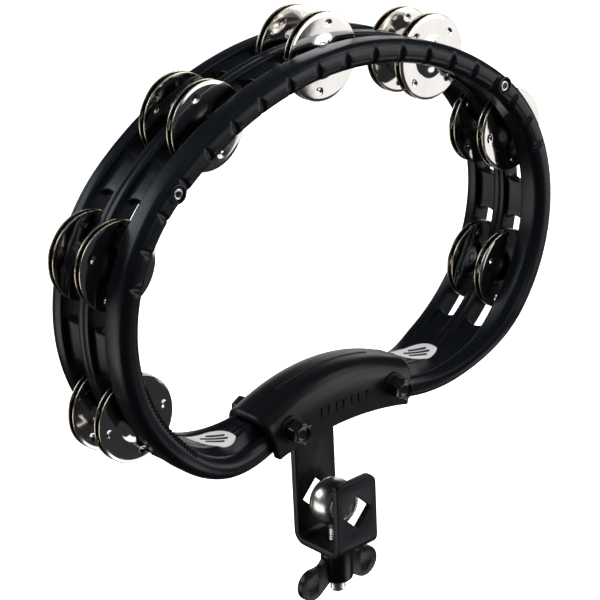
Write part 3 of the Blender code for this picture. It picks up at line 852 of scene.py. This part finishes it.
def build_eye_bolt():
    bm = bmesh.new()
    profile = [
        (7.0, -5.6), (7.25, -6.2), (7.8, -6.5), (9.0, -6.5), (9.9, -6.2), (10.7, -5.2), (11.3, -3.6),
        (11.75, -1.6), (11.9, 0.2), (11.85, 2.1), (11.6, 3.7), (11.4, 4.2), (11.0, 4.4), (11.0, 4.8),
        (11.3, 5.0), (11.1, 5.9), (10.4, 6.9), (9.3, 7.5), (7.8, 7.5), (7.25, 7.2), (7.0, 6.6), (7.0, 0)
    ]
    loft(bm, lathe_rings(profile, (0, 0, 0), (0, 1, 0), 96), closed=True)
    neck = [(4.6, -9.6), (4.35, -11.0), (4.05, -12.2), (3.95, -13.2)]
    rings = lathe_rings([(r, -z) for r, z in neck], (0, 0, 0), (0, 0, -1), 40)
    loft(bm, rings)
    loft(bm, thread_rings(3.95, 0.55, 1.25, -13.0, SHANK_END))
    add_piece("eye_and_shank", bm, ["eye"], "eye_bolt", ["eye_bolt"], 60)


def wing_outline(side):
    """(x, z) of one paddle, rooted in the hub."""
    end_x, end_z, radius = WING_X, WING_Z, 8.0
    points = [(6.0, end_z - 2.0), (6.0, end_z + 11.6)]
    root = rounded([(6.0, end_z + 11.6, 0, 0), (8.8, end_z + 11.0, 1.5, 4),
                    (12.2, end_z + 7.8, 4.0, 6), (17.0, end_z + 8.0, 0, 0)])
    points += root[1:-1]
    steps = 28
    start, turn = math.radians(100), math.radians(-222)
    for i in range(steps + 1):
        t = start + turn * i / steps
        points.append((end_x + radius * math.cos(t), end_z + radius * math.sin(t)))
    return [(side * x, z) for x, z in points]


def build_wing_nut():
    bm = bmesh.new()
    top = PLATE_Z - 0.3
    profile = [(4.2, 0), (7.6, 0), (8.0, 0.5), (8.0, 16.8), (7.6, 18.1),
               (6.6, 19.0), (5.6, 19.2), (4.6, 19.0), (4.2, 18.5)]
    loft(bm, lathe_rings(profile, (0, 0, top), (0, 0, -1), 64), closed=True)
    obj = add_piece("wing_nut_body", bm, ["nut"], "wing_nut", ["wing_nut"])
    for side in (-1, 1):
        boolean(obj, along_y(wing_outline(side), -1.7, 1.7), "UNION")
        for y in (-1.7, 1.7):
            mark = disc_outline(3.4, 32, side * (WING_X + 0.2), WING_Z)
            boolean(obj, along_y(mark, y - 0.25, y + 0.25))
    bevelled(obj, 0.55, 3, 32)
    obj.data.shade_smooth()
    obj.data.set_sharp_from_angle(angle=math.radians(50))


# ---------------------------------------------------------------- labels
LABELS = (("label_left", -308, 10.6), ("label_right", 306.5, 11.2))
LABEL_LONG, LABEL_WIDE = 11.8, 7.6
LABEL_COS, LABEL_SIN = math.cos(math.radians(41)), math.sin(math.radians(41))
LABEL_STRETCH = 1.27  # the outline is this much longer than the inner wall here
LABEL_UP = 0.3
LABEL_BARS = ((-2.5, 6.5, 2.9), (-5.0, 8.0, 0.0), (-2.5, 6.5, -2.9))  # start, end and place across
LABEL_BAR_HALF = 0.95
LABEL_BAR_UP = 0.06


def wall_height(s, y):
    """How far inward the wall is under a label, which bridges the small steps between rails."""
    m = measures(s)
    step = 0.5 * ease(y, m["back_edge"] - 1.5, m["back_edge"] + 1.0)
    return inner_wall(s, y) + step


def on_wall(middle, depth, along, across, lift):
    """A point on a label from its middle: along and across its own axes, lifted off the wall."""
    s = middle - (along * LABEL_COS + across * LABEL_SIN) * LABEL_STRETCH
    y = depth + across * LABEL_COS - along * LABEL_SIN
    return place(s, y, wall_height(s, y) + lift)


def build_labels():
    """White drop-shaped labels, pointed at one end, each with a plain printed mark."""
    steps, across = 48, 22
    for name, middle, depth in LABELS:
        bm = bmesh.new()
        rings = []
        for i in range(1, steps):
            share = (1 - math.cos(math.pi * i / steps)) / 2
            half = LABEL_WIDE * math.sin(math.pi * share**1.35) ** 0.7
            along = LABEL_LONG * (2 * share - 1)
            rows = [half * (2 * k / across - 1) for k in range(across + 1)]
            over = [on_wall(middle, depth, along, w, LABEL_UP) for w in rows]
            under = [on_wall(middle, depth, along, w, -0.3) for w in rows]
            rings.append(over + under[::-1])
        loft(bm, rings)
        for start, end, at in LABEL_BARS:
            near, far = at - LABEL_BAR_HALF, at + LABEL_BAR_HALF
            corners = ((near, 0.2), (near, 0.03), (far, 0.03), (far, 0.2))
            bar = []
            for k in range(13):
                along = start + (end - start) * k / 12
                lifts = [(w, LABEL_UP + LABEL_BAR_UP - low) for w, low in corners]
                bar.append([on_wall(middle, depth, along, w, lift) for w, lift in lifts])
            loft(bm, bar, material=1)
        add_piece(f"drop_{name}", bm, ["label", "ink"], "frame", [name], 60)


# ---------------------------------------------------------------- light, floor and camera
def soft_box(name, direction, distance, size, glow, colour=(1, 1, 1), hidden=False):
    """A softbox that faces the hoop's middle, set by its direction and its glow in W/(m2 sr).
    A hidden one lights matt surfaces and has no reflection."""
    data = bpy.data.lights.new(name, "AREA")
    data.shape = "RECTANGLE"
    data.size, data.size_y = size
    data.energy = glow * math.pi * size[0] * size[1]
    data.color = colour
    obj = bpy.data.objects.new(name, data)
    bpy.context.scene.collection.objects.link(obj)
    middle = Vector((0, 0, 0.12))
    obj.location = middle + Vector(direction).normalized() * distance
    obj.rotation_mode = "QUATERNION"
    obj.rotation_quaternion = (middle - obj.location).to_track_quat("-Z", "Y")
    obj.visible_glossy = not hidden


def backdrop(name, bm, glow):
    """A white studio surface that lights the camera's view only, so the blacks stay deep."""
    mesh = bpy.data.meshes.new(name)
    bm.to_mesh(mesh)
    bm.free()
    mat, tree, shader = new_material(name, (0.9, 0.9, 0.9), 0, 0.9)
    shader.inputs["Emission Color"].default_value = (1, 1, 1, 1)
    shader.inputs["Emission Strength"].default_value = glow
    mesh.materials.append(mat)
    obj = bpy.data.objects.new(name, mesh)
    bpy.context.scene.collection.objects.link(obj)
    obj.visible_diffuse = False
    obj.visible_glossy = False
    obj.visible_shadow = False
    return obj


def build_stage():
    bm = bmesh.new()
    bmesh.ops.create_grid(bm, x_segments=1, y_segments=1, size=5.5)
    backdrop("floor", bm, 1.2).location = (0, 0, -0.32)
    bm = bmesh.new()
    bmesh.ops.create_uvsphere(bm, u_segments=48, v_segments=24, radius=5)
    backdrop("backdrop", bm, 1.2)
    world = bpy.data.worlds.new("studio")
    world.use_nodes = True
    world.node_tree.nodes["Background"].inputs["Color"].default_value = (0.9, 0.95, 1, 1)
    world.node_tree.nodes["Background"].inputs["Strength"].default_value = 0.035
    bpy.context.scene.world = world
    soft_box("front_right", (0.62, -0.68, 0.38), 1.6, (1.0, 0.55), 2.6, (0.9, 0.95, 1.0))
    soft_box("front", (0.09, -1.0, 0.27), 1.5, (0.7, 0.5), 1.0, (0.85, 0.92, 1.0))
    soft_box("low_right", (0.86, -0.46, -0.12), 1.2, (0.92, 0.6), 1.15)
    soft_box("low_front", (0.497, -0.552, -0.669), 1.5, (0.9, 0.4), 1.5, (0.88, 0.94, 1.0))
    soft_box("level", (0.615, -0.787, 0.035), 1.5, (0.6, 0.5), 2.0, (1.0, 0.97, 0.96))
    soft_box("shoulder", (0.61, -0.37, 0.67), 1.6, (0.55, 0.4), 2.6, (1.0, 0.96, 0.93))
    soft_box("low_left", (-0.8, 0.36, -0.3), 1.5, (1.4, 0.8), 1.6, (1.0, 0.96, 0.93))
    soft_box("back_left", (-0.5, 0.70, 0.42), 1.6, (1.0, 0.7), 2.6, (0.85, 0.92, 1.0))
    soft_box("back", (0.5, 0.85, 0.1), 1.8, (1.6, 0.9), 1.0)
    soft_box("fill", (-0.1, -0.2, 1.0), 1.6, (1.2, 1.2), 6.0, hidden=True)
    bpy.context.scene.view_settings.view_transform = "Standard"


def build_camera():
    az, el, roll = (math.radians(v) for v in (-41.157, 22.321, -2.689))
    distance, target = 1.05276, Vector((-0.0206, -0.005, 0.1143))
    back = Vector((math.sin(az) * math.cos(el), -math.cos(az) * math.cos(el), math.sin(el)))
    right = Vector((math.cos(az), math.sin(az), 0))
    up = back.cross(right)
    side = right * math.cos(roll) + up * math.sin(roll)
    head = up * math.cos(roll) - right * math.sin(roll)
    data = bpy.data.cameras.new("camera")
    data.sensor_width = 36
    data.lens = 2277.97 / 600 * 36
    camera = bpy.data.objects.new("camera", data)
    bpy.context.scene.collection.objects.link(camera)
    matrix = Matrix((side, head, back)).transposed().to_4x4()
    matrix.translation = target + back * distance
    camera.matrix_world = matrix
    bpy.context.scene.camera = camera


build_hoop()
build_frame_screws()
build_jingles()
build_cover()
build_cover_marks()
build_bolts()
build_bracket()
build_eye_bolt()
build_wing_nut()
build_labels()
build_stage()
build_camera()

bpy.context.view_layer.update()
